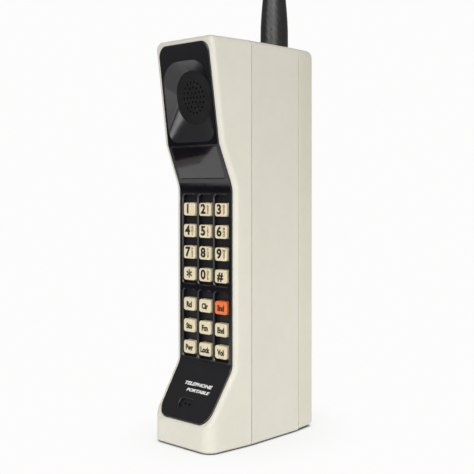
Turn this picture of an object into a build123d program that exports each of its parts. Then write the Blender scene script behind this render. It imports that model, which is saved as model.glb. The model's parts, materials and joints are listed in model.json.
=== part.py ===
from build123d import *
import os
from math import cos, pi, sin

# Early mobile brick phone. Millimetres, +Z up, the front faces -Y, +X is the right side seen from
# the front. The origin is the middle of the base it stands on.

# ---- driving dimensions: the body --------------------------------------------------------------
BODY_HEIGHT = 220.0
BODY_DEPTH = 87.4
HALF_WIDTH = 24.5          # at the joint between the front and rear housings, the widest place
FRONT_Y = -BODY_DEPTH / 2  # chin
REAR_Y = BODY_DEPTH / 2    # back of the battery pack
SEAM_Y = FRONT_Y + 30.2    # joint between the front and rear housings
PACK_Y = REAR_Y - 16.4     # joint between the rear housing and the battery pack
KEYPAD_Y = FRONT_Y + 18.9  # plane of the keypad
FRONT_DRAFT = 0.062        # half width lost per millimetre, from the joint towards the chin
REAR_DRAFT = 0.050         # the same, from the joint towards the pack
PACK_DRAFT = 0.150         # the same, along the pack
WALL = 2.2
REAR_WALL = 2.0            # wall between the rear housing and the pack
SEAM_GAP = 0.3
PACK_GAP = 0.3
PACK_LIFT = 0.5            # the pack stops this far above the base
SEAM_EDGE = 0.2            # chamfer along both edges of each joint line

# ---- the front's side outline, from the chin up: height of each bend ---------------------------
CHIN_TOP_Z = 13.1
LOWER_KNEE_Z = 42.3
UPPER_KNEE_Z = 139.8
BROW_Z = 163.2
BROW_Y = KEYPAD_Y - 9.45
TOP_FRONT_Y = FRONT_Y + 1.5

# ---- roundings -----------------------------------------------------------------------------------
TOP_SIDE_R = 4.4
CHIN_CORNER_R = 7.0
RIM_R = 2.6
BASE_R = 2.2
PACK_BACK_R = 4.0
PACK_BASE_R = 2.5
TOP_INNER_R = 3.4
CHIN_INNER_R = 4.8
PACK_INNER_R = 3.6

# ---- front panel ---------------------------------------------------------------------------------
RIM = 2.9                  # cream rim beside the panel
PANEL_GAP = 0.12
PANEL_PROUD = 0.5
PANEL_BACK = 2.3           # back of the panel below the housing's front surface
PANEL_FLANGE = 1.0
PANEL_LOW_Z = 14.5
PANEL_HIGH_Z = 217.1
PANEL_TOP_CORNER_R = 6.0
PANEL_LOW_CORNER_R = 7.0
PANEL_EDGE_R = 0.7

# ---- keypad --------------------------------------------------------------------------------------
COLUMN_PITCH = 12.58
ROW_PITCH = 12.02
BLOCK_STEP = 16.97         # from the last dialling row to the first function row
FIRST_ROW_Z = 127.65
KEY_W = 9.1
KEY_H = 7.2
KEY_PROUD = 0.35           # above the panel
KEY_TRAVEL = 1.2
KEY_CORNER_R = 1.4
KEY_EDGE_R = 0.6
FLANGE_W = 10.9
FLANGE_H = 8.6
SLOT_W = 11.1
SLOT_ABOVE = 4.5           # slot length above its first key and below its last one
SLOT_BELOW = 1.7
SLOT_CORNER_R = 1.8
SLOT_CHAMFER = 0.55
DIAL_KEYS = (
    ("key_1", "key_2", "key_3"),
    ("key_4", "key_5", "key_6"),
    ("key_7", "key_8", "key_9"),
    ("key_star", "key_0", "key_hash"),
)
FUNCTION_KEYS = (
    ("key_recall", "key_clear", "key_send"),
    ("key_store", "key_function", "key_end"),
    ("key_power", "key_lock", "key_volume"),
)

# ---- layers behind the panel, each from its front face -------------------------------------------
PANEL_BACK_Y = KEYPAD_Y + PANEL_BACK
MASK_Y = PANEL_BACK_Y + 0.05
MASK_T = 1.0
FLANGE_Y = MASK_Y + MASK_T + 0.1
FLANGE_T = 1.0
DOME_TOP_Y = FLANGE_Y + FLANGE_T + KEY_TRAVEL + 0.15
DOME_H = 1.3
LAYER_HALF_W = 19.4        # key mask, mat and keypad board
LAYER_ABOVE = 10.0         # how far they run above the first row and below the last one
LAYER_BELOW = 6.8
MAT_T = 0.8
MAT_Y = DOME_TOP_Y + DOME_H
BOARD_T = 1.6
KEY_BOARD_Y = MAT_Y + MAT_T + 0.1
CHASSIS_Y = -12.9
CHASSIS_T = 1.6
LOGIC_Y = CHASSIS_Y + CHASSIS_T + 2.4
RADIO_Y = 4.0

# ---- earpiece ------------------------------------------------------------------------------------
DISH_Z = 186.3
DISH_W = 36.6
DISH_H = 44.0
DISH_TOP_R = 13.0
DISH_BOTTOM_R = 7.0
DISH_DEPTH = 4.2
DISH_LIP_R = 0.6
GRILLE_Z = DISH_Z + 1.7
GRILLE_W = 27.0
GRILLE_H = 29.2
GRILLE_R = 12.6
GRILLE_T = 1.2
GRILLE_HOLE_R = 0.6
GRILLE_RINGS = 3
GRILLE_RING_STEP = 2.6

# ---- display -------------------------------------------------------------------------------------
DISPLAY_Z = 153.4
LENS_W = 36.0
LENS_H = 18.2
LENS_T = 1.6
LENS_R = 1.6
WINDOW_W = 31.0
WINDOW_H = 9.0

# ---- microphone ----------------------------------------------------------------------------------
MIC_Z = 22.7
MIC_X = -1.5
MIC_RECESS_W = 11.0
MIC_RECESS_H = 5.2
MIC_RECESS_DEPTH = 1.3
MIC_PORT_R = 0.7

# ---- bay in the rear housing and the battery pack in it ------------------------------------------
BAY_W = 38.0
BAY_LOW_Z = 10.0
BAY_HIGH_Z = 196.0
BAY_FLOOR_Y = PACK_Y - 8.4
BAY_WALL = 1.6
TRAY_CLEARANCE = 0.4
TRAY_WALL = 1.2
TRAY_Y0 = BAY_FLOOR_Y + TRAY_CLEARANCE
TRAY_PLATE_Y = PACK_Y + PACK_GAP + 0.2
TRAY_PLATE_T = 1.4
PACK_WALL = 2.0
CELL_R = 8.5
CELL_L = 50.0
CELL_PITCH = CELL_L + 2.0
CELL_LOW_Z = 18.0
CELL_X = CELL_R + 0.2      # half the distance between the two columns of cells
CELL_Y = TRAY_Y0 + TRAY_WALL + 0.8 + CELL_R
PACK_CONTACT_X = (-9.0, -3.0, 3.0, 9.0)
BASE_CONTACT_X = (-12.0, -4.0, 4.0, 12.0)
BASE_CONTACT_Y = 8.0
BASE_CONTACT_R = 2.25

# ---- pack latch ----------------------------------------------------------------------------------
LATCH_Z = 196.5
LATCH_W = 15.0
LATCH_H = 9.0
LATCH_TRAVEL = 3.0
LATCH_POCKET_DEPTH = 3.0
LATCH_FLOOR_T = 1.4
TONGUE_W = 6.0
TONGUE_T = 1.6
TONGUE_Z = LATCH_Z + LATCH_H / 2 + 4.4

# ---- antenna -------------------------------------------------------------------------------------
ANTENNA_X = 12.0
ANTENNA_Y = 18.1
ANTENNA_TOP_Z = 340.0
ANTENNA_BASE_R = 7.9
ANTENNA_WHIP_R = 5.1
STUD_R = 3.13
SOCKET_BORE_R = 3.2
SOCKET_R = 6.0

# ---- screws --------------------------------------------------------------------------------------
HOUSING_SCREWS = [(x, z) for z in (6.6, 201.0) for x in (-19.4, 19.4)]
BOSS_R = 2.8
PILOT_R = 1.05
LOGIC_SCREWS = [(x, z) for z in (26.0, 180.0) for x in (-13.0, 13.0)]
RADIO_SCREWS = [(x, z) for z in (34.0, 172.0) for x in (-13.0, 13.0)]
CHASSIS_SCREWS = [(x, z) for z in (20.0, 188.0) for x in (-17.6, 17.6)]


# ---- helpers -------------------------------------------------------------------------------------
def half_width(y):
    """Half the body's width at a depth."""
    if y <= SEAM_Y:
        return HALF_WIDTH - FRONT_DRAFT * (SEAM_Y - y)
    if y <= PACK_Y:
        return HALF_WIDTH - REAR_DRAFT * (y - SEAM_Y)
    return half_width(PACK_Y) - PACK_DRAFT * (y - PACK_Y)


def box(x0, x1, y0, y1, z0, z1):
    """A box from its low and high corners."""
    return Pos((x0 + x1) / 2, (y0 + y1) / 2, (z0 + z1) / 2) * Box(x1 - x0, y1 - y0, z1 - z0)


def front_block(x, z, width, height, y0, y1, corner=0.0):
    """A block seen square on from the front, centred on x and z, with rounded corners."""
    block = box(x - width / 2, x + width / 2, y0, y1, z - height / 2, z + height / 2)
    if corner:
        block = fillet(block.edges().filter_by(Axis.Y), corner)
    return block


def rod_y(x, z, radius, y0, y1):
    """A round bar along Y."""
    return Pos(x, (y0 + y1) / 2, z) * Rot(90, 0, 0) * Cylinder(radius, y1 - y0)


def rod_z(x, y, radius, z0, z1):
    """A round bar along Z."""
    return Pos(x, y, (z0 + z1) / 2) * Cylinder(radius, z1 - z0)


def edges_of(shape, test):
    """The edges of a shape whose middle point passes a test."""
    return ShapeList([edge for edge in shape.edges() if test(edge.center(), edge)])


def near(value, target):
    return abs(value - target) < 0.01


def round_top(shape, z, radius):
    """Round the two long edges, left and right, at the top of a shell or cavity."""
    return fillet(edges_of(shape, lambda c, e: near(c.Z, z) and abs(c.X) > 10), radius)


def plan_prism(stations, z0, z1):
    """A prism whose plan is symmetric about X = 0, from (half width, y) stations."""
    right = [(w, y) for w, y in stations]
    left = [(-w, y) for w, y in reversed(stations)]
    face = make_face(Polyline(*(right + left), close=True))
    return Pos(0, 0, z0) * extrude(face, z1 - z0)


def front_outline(back_y):
    """The front half's side outline, closed at back_y, as a face in the YZ plane."""
    points = [
        (FRONT_Y, 0),
        (FRONT_Y, CHIN_TOP_Z),
        (KEYPAD_Y, LOWER_KNEE_Z),
        (KEYPAD_Y, UPPER_KNEE_Z),
        (BROW_Y, BROW_Z),
        (TOP_FRONT_Y, BODY_HEIGHT),
        (back_y, BODY_HEIGHT),
        (back_y, 0),
    ]
    corner_radii = [0, 0, 9, 15, 4, 0, 0, 0]
    return make_face(FilletPolyline(*points, radius=corner_radii, close=True))


def front_shape(depth, back_y=SEAM_Y + 12):
    """The front half's side outline moved inwards by a depth, as a wide slab along X."""
    face = front_outline(back_y)
    if depth:
        face = offset(face, amount=-depth, kind=Kind.INTERSECTION)
    return extrude(Plane.YZ * face, HALF_WIDTH + 5, both=True)


def front_band(depth_0, depth_1):
    """What lies between two depths below the front surface."""
    return front_shape(depth_0) - front_shape(depth_1)


def front_plan(margin, z0=-5.0, z1=BODY_HEIGHT + 5):
    """The region further inside the side walls than a margin."""
    y0 = FRONT_Y - 6
    y1 = SEAM_Y + 6
    width_0 = HALF_WIDTH - FRONT_DRAFT * (SEAM_Y - y0) - margin
    width_1 = HALF_WIDTH - FRONT_DRAFT * (SEAM_Y - y1) - margin
    return plan_prism([(width_0, y0), (width_1, y1)], z0, z1)


def panel_window(grow):
    """The panel's outline seen from the front, as a block along Y, moved outwards by grow."""
    low = PANEL_LOW_Z - grow
    high = PANEL_HIGH_Z + grow
    slab = box(-HALF_WIDTH, HALF_WIDTH, FRONT_Y - 6, SEAM_Y - 1, low, high)
    shape = slab & front_plan(RIM - grow)
    for z, corner in ((low, PANEL_LOW_CORNER_R + grow), (high, PANEL_TOP_CORNER_R + grow)):
        shape = fillet(edges_of(shape, lambda c, e: near(c.Z, z) and abs(c.X) > 5
                                and abs(e.tangent_at(0.5).Y) > 0.9), corner)
    return shape


def surface_plane(low, high, z):
    """The plane on a straight stretch of the front, at height z: local y runs up, z points out."""
    (y0, z0), (y1, z1) = low, high
    up = Vector(0, y1 - y0, z1 - z0).normalized()
    y = y0 + (y1 - y0) * (z - z0) / (z1 - z0)
    return Plane(origin=(0, y, z), x_dir=(1, 0, 0), z_dir=(0, -up.Z, up.Y))


EAR_PLANE = surface_plane((BROW_Y, BROW_Z), (TOP_FRONT_Y, BODY_HEIGHT), DISH_Z)
LENS_PLANE = surface_plane((KEYPAD_Y, UPPER_KNEE_Z), (BROW_Y, BROW_Z), DISPLAY_Z)
GRILLE_PLANE = surface_plane((BROW_Y, BROW_Z), (TOP_FRONT_Y, BODY_HEIGHT), GRILLE_Z)
MIC_PLANE = surface_plane((FRONT_Y, CHIN_TOP_Z), (KEYPAD_Y, LOWER_KNEE_Z), MIC_Z)


def slab_on(plane, sketch, z0, z1):
    """A sketch on a plane, extruded between two heights above it."""
    return plane * (Pos(0, 0, z0) * extrude(sketch, z1 - z0))


def dish_outline(width, height, top_r, bottom_r):
    """A rectangle with its own radius for the two top corners and for the two bottom ones."""
    face = Rectangle(width, height)
    face = fillet(face.vertices().filter_by(lambda v: v.Y > 0), top_r)
    return fillet(face.vertices().filter_by(lambda v: v.Y < 0), bottom_r)


def face_edges(shape, plane, height, half_w, half_h):
    """The edges that lie at a height above a plane, within a rectangle around its origin."""
    def on_it(c, edge):
        ends = [plane.to_local_coords(edge @ t) for t in (0.0, 0.5, 1.0)]
        level = all(abs(p.Z - height) < 0.02 for p in ends)
        return level and all(abs(p.X) < half_w and abs(p.Y) < half_h for p in ends)
    return edges_of(shape, on_it)


def key_rows():
    """(height, names) of each key row, from the top."""
    rows = [(FIRST_ROW_Z - i * ROW_PITCH, names) for i, names in enumerate(DIAL_KEYS)]
    start = rows[-1][0] - BLOCK_STEP
    return rows + [(start - i * ROW_PITCH, names) for i, names in enumerate(FUNCTION_KEYS)]


def key_places():
    """(name, x, z) of each key."""
    places = []
    for z, names in key_rows():
        for column, name in enumerate(names):
            places.append((name, (column - 1) * COLUMN_PITCH, z))
    return places


# ---- housings ------------------------------------------------------------------------------------
def front_housing_outer():
    """Outside of the front housing, with its rounded rim, top, chin and base."""
    y1 = SEAM_Y - SEAM_GAP / 2
    plan = plan_prism([(half_width(FRONT_Y), FRONT_Y), (half_width(y1), y1)], 0, BODY_HEIGHT)
    body = extrude(Plane.YZ * front_outline(SEAM_Y + 2), HALF_WIDTH + 5, both=True) & plan
    body = round_top(body, BODY_HEIGHT, TOP_SIDE_R)
    body = fillet(edges_of(body, lambda c, e: near(c.Y, FRONT_Y) and abs(c.X) > 20), CHIN_CORNER_R)

    def on_rim(c, edge):
        across = edge.geom_type == GeomType.LINE and abs(edge.tangent_at(0).X) > 0.99
        if across:
            return (near(c.Z, BODY_HEIGHT) or near(c.Z, CHIN_TOP_Z)) and c.Y < SEAM_Y - 5
        on_seam = near(c.Y, y1)
        on_base_or_chin = c.Z < CHIN_TOP_Z
        on_top_side = near(c.Z, BODY_HEIGHT) or near(c.Z, BODY_HEIGHT - TOP_SIDE_R)
        return not (on_seam or on_base_or_chin or on_top_side)

    body = fillet(edges_of(body, on_rim), RIM_R)
    body = fillet(edges_of(body, lambda c, e: near(c.Z, 0) and c.Y < SEAM_Y - 1), BASE_R)
    return chamfer(edges_of(body, lambda c, e: near(c.Y, y1)), SEAM_EDGE)


def front_cavity():
    """Inside of the front housing."""
    low = front_shape(WALL, SEAM_Y + 12)
    inside = low & front_plan(WALL, 0, BODY_HEIGHT)
    inside = round_top(inside, BODY_HEIGHT - WALL, TOP_INNER_R)
    return fillet(edges_of(inside, lambda c, e: near(c.Y, FRONT_Y + WALL) and abs(c.X) > 18), CHIN_INNER_R)


def screw_boss(x, z, y0, y1):
    """A boss beside the side wall, with the rib that ties it to the wall."""
    side = 1 if x > 0 else -1
    rib = box(min(x, x + side * 3.2), max(x, x + side * 3.2), y0, y1, z - 1.0, z + 1.0)
    return rod_y(x, z, BOSS_R, y0, y1) + rib


def front_housing():
    outer = front_housing_outer()
    opening = front_band(-4, WALL + 3) & panel_window(PANEL_GAP)
    shell = outer - front_cavity() - opening
    back = SEAM_Y - SEAM_GAP / 2
    for x, z in HOUSING_SCREWS:
        shell += screw_boss(x, z, back - 8.5, back - 0.1) & outer
    for x, z in HOUSING_SCREWS:
        shell -= rod_y(x, z, PILOT_R, back - 7.5, back + 1)
    return shell


def rear_housing():
    y0 = SEAM_Y + SEAM_GAP / 2
    stations = [(half_width(y0), y0), (half_width(PACK_Y), PACK_Y)]
    outer = plan_prism(stations, 0, BODY_HEIGHT)
    outer = round_top(outer, BODY_HEIGHT, TOP_SIDE_R)
    outer = fillet(edges_of(outer, lambda c, e: near(c.Z, 0) and abs(c.X) > 20), BASE_R)
    outer = chamfer(edges_of(outer, lambda c, e: near(c.Y, y0) or near(c.Y, PACK_Y)), SEAM_EDGE)
    y1 = PACK_Y - REAR_WALL
    inside = plan_prism([(half_width(y0) - WALL, y0 - 1), (half_width(y1) - WALL, y1)],
                        WALL, BODY_HEIGHT - WALL)
    inside = round_top(inside, BODY_HEIGHT - WALL, TOP_INNER_R)
    shell = outer - inside
    # the bay that the pack's tray sits in, and the posts that carry the chassis and radio board
    bay_front = BAY_FLOOR_Y - BAY_WALL
    shell += box(-BAY_W / 2 - 2, BAY_W / 2 + 2, bay_front, PACK_Y,
                 BAY_LOW_Z - BAY_WALL, BAY_HIGH_Z + BAY_WALL)
    for x, z in CHASSIS_SCREWS:
        shell += rod_y(x, z, 2.0, CHASSIS_Y + CHASSIS_T + 0.05, bay_front + 0.5)
    for x, z in RADIO_SCREWS:
        shell += rod_y(x, z, 2.0, RADIO_Y + BOARD_T + 0.05, bay_front + 0.5)
    for x, z in HOUSING_SCREWS:
        shell += screw_boss(x, z, y0 + 0.1, PACK_Y - 0.5) & outer
    shell -= box(-BAY_W / 2, BAY_W / 2, BAY_FLOOR_Y, PACK_Y + 1, BAY_LOW_Z, BAY_HIGH_Z)
    for x, z in CHASSIS_SCREWS:
        shell -= rod_y(x, z, PILOT_R, CHASSIS_Y, CHASSIS_Y + 9)
    for x, z in RADIO_SCREWS:
        shell -= rod_y(x, z, PILOT_R, RADIO_Y, RADIO_Y + 9)
    for x, z in HOUSING_SCREWS:
        shell -= rod_y(x, z, 1.5, y0 - 1, PACK_Y + 1)
        shell -= rod_y(x, z, 2.5, PACK_Y - 4.0, PACK_Y + 1)
    # antenna hole, latch slot, contact window in the bay floor, recesses of the base contacts
    shell -= rod_z(ANTENNA_X, ANTENNA_Y, SOCKET_R + 0.05, BODY_HEIGHT - 6, BODY_HEIGHT + 1)
    shell -= box(-TONGUE_W / 2 - 0.6, TONGUE_W / 2 + 0.6, PACK_Y - 3, PACK_Y + 1,
                 TONGUE_Z - LATCH_TRAVEL - TONGUE_T / 2 - 0.4, TONGUE_Z + TONGUE_T / 2 + 0.4)
    shell -= box(-12.2, 12.2, bay_front - 1, BAY_FLOOR_Y + 1, 15.8, 26.2)
    for x in BASE_CONTACT_X:
        shell -= rod_z(x, BASE_CONTACT_Y, BASE_CONTACT_R + 0.05, -1, WALL + 1)
    return shell


# ---- front panel and what shows through it -------------------------------------------------------
def key_slots():
    """Six long slots, three for the dialling keys and three for the function keys."""
    slots = []
    rows = [z for z, _ in key_rows()]
    for high, low in ((rows[0], rows[3]), (rows[4], rows[6])):
        z1 = high + KEY_H / 2 + SLOT_ABOVE
        z0 = low - KEY_H / 2 - SLOT_BELOW
        for column in (-1, 0, 1):
            slots.append(front_block(column * COLUMN_PITCH, (z0 + z1) / 2, SLOT_W, z1 - z0,
                                     KEYPAD_Y - 3, KEYPAD_Y + 6, SLOT_CORNER_R))
    return slots


def panel_plate():
    """The panel's plate, raised a little above the rim, its front edge rounded all round."""
    plate = front_band(-PANEL_PROUD, PANEL_BACK) & panel_window(0)
    raised_faces = front_shape(-PANEL_PROUD).faces()

    def on_front_edge(c, edge):
        across = edge.geom_type == GeomType.LINE and abs(edge.tangent_at(0).X) > 0.99
        at_end = near(c.Z, PANEL_LOW_Z) or near(c.Z, PANEL_HIGH_Z)
        on_front = min(face.distance_to(Vertex(*c)) for face in raised_faces) < 0.01
        return on_front and (at_end or not across)

    return fillet(edges_of(plate, on_front_edge), PANEL_EDGE_R)


def panel_flange():
    """Strips behind the housing's rim, along both sides of the panel."""
    strips = front_plan(WALL + 0.15) - front_plan(RIM + 1.0)
    middle = box(-HALF_WIDTH, HALF_WIDTH, FRONT_Y - 6, SEAM_Y, PANEL_LOW_Z + 6, PANEL_HIGH_Z - 6)
    return front_band(PANEL_BACK - 0.05, PANEL_BACK + PANEL_FLANGE) & strips & middle


def front_panel():
    panel = panel_plate() + panel_flange()
    # earpiece dish: a funnel from a rounded rectangle to an oval, with its own wall behind
    mouth = dish_outline(DISH_W, DISH_H, DISH_TOP_R, DISH_BOTTOM_R)
    floor = dish_outline(GRILLE_W, GRILLE_H, GRILLE_R, GRILLE_R)
    backing = loft([EAR_PLANE * Pos(0, 0, -1.8) * offset(mouth, amount=1.2),
                    GRILLE_PLANE * Pos(0, 0, -DISH_DEPTH - 2.0) * offset(floor, amount=1.6)])
    dish = loft([EAR_PLANE * Pos(0, 0, PANEL_PROUD) * mouth,
                 GRILLE_PLANE * Pos(0, 0, -DISH_DEPTH) * floor])
    seat = slab_on(GRILLE_PLANE, floor, -DISH_DEPTH - 3, -DISH_DEPTH + 0.05)
    panel = panel + backing - dish - seat
    lip = face_edges(panel, EAR_PLANE, PANEL_PROUD, DISH_W / 2 + 0.1, DISH_H / 2 + 0.1)
    panel = fillet(lip, DISH_LIP_R)
    # display: pocket for the lens and the window behind it
    pocket = RectangleRounded(LENS_W + 0.2, LENS_H + 0.2, LENS_R + 0.1)
    panel -= slab_on(LENS_PLANE, pocket, PANEL_PROUD - LENS_T - 0.1, PANEL_PROUD + 1)
    pocket_edge = face_edges(panel, LENS_PLANE, PANEL_PROUD, LENS_W / 2 + 0.2, LENS_H / 2 + 0.2)
    panel = chamfer(pocket_edge, 0.2)
    panel -= slab_on(LENS_PLANE, RectangleRounded(WINDOW_W, WINDOW_H, 1.0), -PANEL_BACK - 1, PANEL_PROUD)
    # microphone: an oblong recess with two ports through its floor
    recess = Pos(MIC_X, 0) * RectangleRounded(MIC_RECESS_W, MIC_RECESS_H, MIC_RECESS_H / 2 - 0.1)
    panel -= slab_on(MIC_PLANE, recess, PANEL_PROUD - MIC_RECESS_DEPTH, PANEL_PROUD + 1)
    recess_edge = face_edges(panel, MIC_PLANE, PANEL_PROUD, MIC_RECESS_W, MIC_RECESS_H / 2 + 0.1)
    panel = fillet(recess_edge, 0.5)
    for x in (MIC_X - 1.6, MIC_X + 1.6):
        panel -= slab_on(MIC_PLANE, Pos(x, 0) * Circle(MIC_PORT_R), -PANEL_BACK - 1, PANEL_PROUD)
    for slot in key_slots():
        panel -= slot
    keypad = Plane(origin=(0, KEYPAD_Y, FIRST_ROW_Z - 42), x_dir=(1, 0, 0), z_dir=(0, -1, 0))
    return chamfer(face_edges(panel, keypad, PANEL_PROUD, 1.5 * COLUMN_PITCH, 52), SLOT_CHAMFER)


def earpiece_grille():
    """Plate at the bottom of the dish, with rings of small holes stretched to follow its oval."""
    plate = slab_on(GRILLE_PLANE, RectangleRounded(GRILLE_W - 0.2, GRILLE_H - 0.2, GRILLE_R - 0.1),
                    -DISH_DEPTH - GRILLE_T, -DISH_DEPTH)
    centres = [(0.0, 0.0)]
    for ring in range(1, GRILLE_RINGS + 1):
        radius = ring * GRILLE_RING_STEP
        count = 6 * ring
        for i in range(count):
            angle = 2 * pi * i / count
            centres.append((radius * cos(angle), radius * sin(angle) * GRILLE_H / GRILLE_W))
    holes = Sketch() + [Pos(x, y) * Circle(GRILLE_HOLE_R) for x, y in centres]
    return plate - slab_on(GRILLE_PLANE, holes, -DISH_DEPTH - GRILLE_T - 1, -DISH_DEPTH + 1)


def earpiece_gasket():
    outside = RectangleRounded(GRILLE_W + 2.6, GRILLE_H + 2.6, GRILLE_R + 1.2)
    inside = RectangleRounded(GRILLE_W - 3, GRILLE_H - 3, GRILLE_R - 1.6)
    return slab_on(GRILLE_PLANE, outside - inside, -DISH_DEPTH - 3.3, -DISH_DEPTH - 2.05)


def earpiece_speaker():
    top = -DISH_DEPTH - 3.4
    frame = slab_on(GRILLE_PLANE, Circle(13.0), top - 3.2, top)
    magnet = slab_on(GRILLE_PLANE, Circle(8.5), top - 8.0, top - 3.1)
    return frame + magnet


def display_lens():
    front = PANEL_PROUD - 0.05
    lens = slab_on(LENS_PLANE, RectangleRounded(LENS_W, LENS_H, LENS_R), PANEL_PROUD - LENS_T, front)
    return chamfer(face_edges(lens, LENS_PLANE, front, LENS_W, LENS_H), 0.15)


def display_module():
    board = slab_on(LENS_PLANE, Rectangle(36, 15), -PANEL_BACK - 3.6, -PANEL_BACK - 2.0)
    return board + slab_on(LENS_PLANE, RectangleRounded(WINDOW_W - 0.8, WINDOW_H - 0.8, 0.8),
                           -PANEL_BACK - 2.0, -PANEL_BACK + 0.4)


def display_digits():
    """Seven digit cells, each a small magnifying bubble."""
    cells = []
    for i in range(7):
        cells.append(slab_on(LENS_PLANE, Pos((i - 3) * 4.0, 0) * RectangleRounded(3.2, 5.6, 0.6),
                             -PANEL_BACK + 0.45, -PANEL_BACK + 1.15))
    return cells


def microphone():
    return slab_on(MIC_PLANE, Pos(MIC_X, 0) * Circle(4.7), -PANEL_BACK - 8.0, -PANEL_BACK - 1.6)


def microphone_boot():
    boot = slab_on(MIC_PLANE, Pos(MIC_X, 0) * Circle(6.2), -PANEL_BACK - 6.5, -PANEL_BACK - 0.1)
    boot -= slab_on(MIC_PLANE, Pos(MIC_X, 0) * Circle(4.75), -PANEL_BACK - 9, -PANEL_BACK - 1.55)
    return boot - slab_on(MIC_PLANE, Pos(MIC_X, 0) * Circle(2.6), -PANEL_BACK - 9, -PANEL_BACK + 1)


# ---- keys and the layers behind them -------------------------------------------------------------
def key(x, z):
    """One key: its cap through the panel and mask, and the flange that keeps it in."""
    y0 = KEYPAD_Y - PANEL_PROUD - KEY_PROUD
    cap = front_block(x, z, KEY_W, KEY_H, y0, FLANGE_Y + 0.2, KEY_CORNER_R)
    cap = fillet(edges_of(cap, lambda c, e: near(c.Y, y0)), KEY_EDGE_R)
    return cap + front_block(x, z, FLANGE_W, FLANGE_H, FLANGE_Y, FLANGE_Y + FLANGE_T, 1.0)


def keypad_layer(y0, thickness):
    """A plain sheet behind all the keys."""
    low = key_rows()[-1][0] - LAYER_BELOW
    high = FIRST_ROW_Z + LAYER_ABOVE
    return box(-LAYER_HALF_W, LAYER_HALF_W, y0, y0 + thickness, low, high)


def key_mask():
    """The plate between the keys, with a hole for each of them."""
    plate = keypad_layer(MASK_Y, MASK_T)
    for _, x, z in key_places():
        plate -= front_block(x, z, KEY_W + 0.5, KEY_H + 0.5, MASK_Y - 1, FLANGE_Y, KEY_CORNER_R)
    return plate


def key_mat():
    """Silicone sheet with one dome behind each key."""
    mat = keypad_layer(MAT_Y, MAT_T)
    for _, x, z in key_places():
        mat += Pos(x, MAT_Y - DOME_H / 2, z) * Rot(90, 0, 0) * Cone(3.3, 2.3, DOME_H + 0.02)
    return mat


def keypad_board():
    return keypad_layer(KEY_BOARD_Y, BOARD_T)


# ---- chassis and boards --------------------------------------------------------------------------
def chassis():
    plate = front_block(0, 104, 40.0, 178.0, CHASSIS_Y, CHASSIS_Y + CHASSIS_T, 3.0)
    for z in (52.0, 104.0, 156.0):
        plate -= front_block(0, z, 26.0, 34.0, CHASSIS_Y - 1, CHASSIS_Y + CHASSIS_T + 1, 3.0)
    for x, z in LOGIC_SCREWS:
        plate += rod_y(x, z, 2.0, CHASSIS_Y, LOGIC_Y - 0.05)
        plate -= rod_y(x, z, 0.9, CHASSIS_Y - 1, LOGIC_Y + 1)
    for x, z in CHASSIS_SCREWS:
        plate -= rod_y(x, z, 1.35, CHASSIS_Y - 1, CHASSIS_Y + CHASSIS_T + 1)
    return plate


def logic_board():
    board = front_block(0, 103, 30.0, 166.0, LOGIC_Y, LOGIC_Y + BOARD_T, 1.0)
    for x, z in LOGIC_SCREWS:
        board -= rod_y(x, z, 1.15, LOGIC_Y - 1, LOGIC_Y + BOARD_T + 1)
    return board


def logic_components():
    """Processor, memories, driver chips, crystal can and two electrolytic capacitors."""
    y = LOGIC_Y + BOARD_T + 0.02
    chips = [front_block(0, 140, 15.0, 36.0, y, y + 3.0), front_block(0, 104, 14.0, 22.0, y, y + 3.0),
             front_block(-7.5, 78, 8.0, 18.0, y, y + 2.6), front_block(7.5, 78, 8.0, 18.0, y, y + 2.6),
             front_block(-8.0, 52, 7.0, 12.0, y, y + 2.4), front_block(3.0, 52, 10.0, 12.0, y, y + 2.4)]
    crystal = front_block(0, 164, 11.0, 4.4, y, y + 3.4, 2.1)
    capacitors = [rod_y(x, 34, 3.0, y, y + 7.0) for x in (-6.0, 6.0)]
    return chips + [crystal] + capacitors


def board_connector():
    """Header between the keypad board and the logic board, through the chassis window."""
    return front_block(0, 52, 20.0, 5.0, KEY_BOARD_Y + BOARD_T + 0.05, LOGIC_Y - 0.05)


def radio_board():
    board = front_block(0, 103, 33.0, 150.0, RADIO_Y, RADIO_Y + BOARD_T, 1.0)
    for x, z in RADIO_SCREWS:
        board -= rod_y(x, z, 1.15, RADIO_Y - 1, RADIO_Y + BOARD_T + 1)
    return board


def radio_shield():
    """Folded tin can over the front of the radio board, open towards the board."""
    y0 = RADIO_Y - 4.6
    y1 = RADIO_Y - 0.05
    can = front_block(0, 118, 28.0, 74.0, y0, y1, 1.0)
    return can - front_block(0, 118, 27.2, 73.2, y0 + 0.4, y1 + 1, 0.8)


def radio_components():
    """Synthesiser, mixer and filter cans under the shield, power transistors below it."""
    y1 = RADIO_Y - 0.02
    under = [front_block(x, z, w, h, y1 - t, y1) for x, z, w, h, t in
             ((-6, 140, 12, 14, 3.2), (7, 142, 9, 9, 2.6), (0, 118, 18, 12, 3.0), (-7, 98, 9, 12, 2.6),
              (6, 96, 12, 10, 3.4))]
    power = [front_block(x, 66, 10, 14, y1 - 3.4, y1) for x in (-7.0, 7.0)]
    return under + power


def duplexer():
    """Ceramic filter block on the back of the radio board, with its tuning screws."""
    y0 = RADIO_Y + BOARD_T + 0.05
    block = front_block(0, 148, 24.0, 34.0, y0, y0 + 9.6, 0.6)
    for x in (-7.5, 0.0, 7.5):
        block += rod_z(x, y0 + 4.8, 1.6, 164.9, 166.6)
    return block


def display_ribbon():
    """Flat cable from the back of the display module to the top of the keypad board."""
    _, y0, z0 = LENS_PLANE.from_local_coords(Vector(0, -6.0, -PANEL_BACK - 4.0))
    y1 = KEY_BOARD_Y + BOARD_T + 0.55
    low = FIRST_ROW_Z + LAYER_ABOVE - 6.0
    path = FilletPolyline((y0, z0), (y1, z0 - 4.0), (y1, low), radius=3.0)
    strip = trace(path, line_width=0.4)
    return extrude(Plane.YZ * strip, 7.0, both=True)


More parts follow.
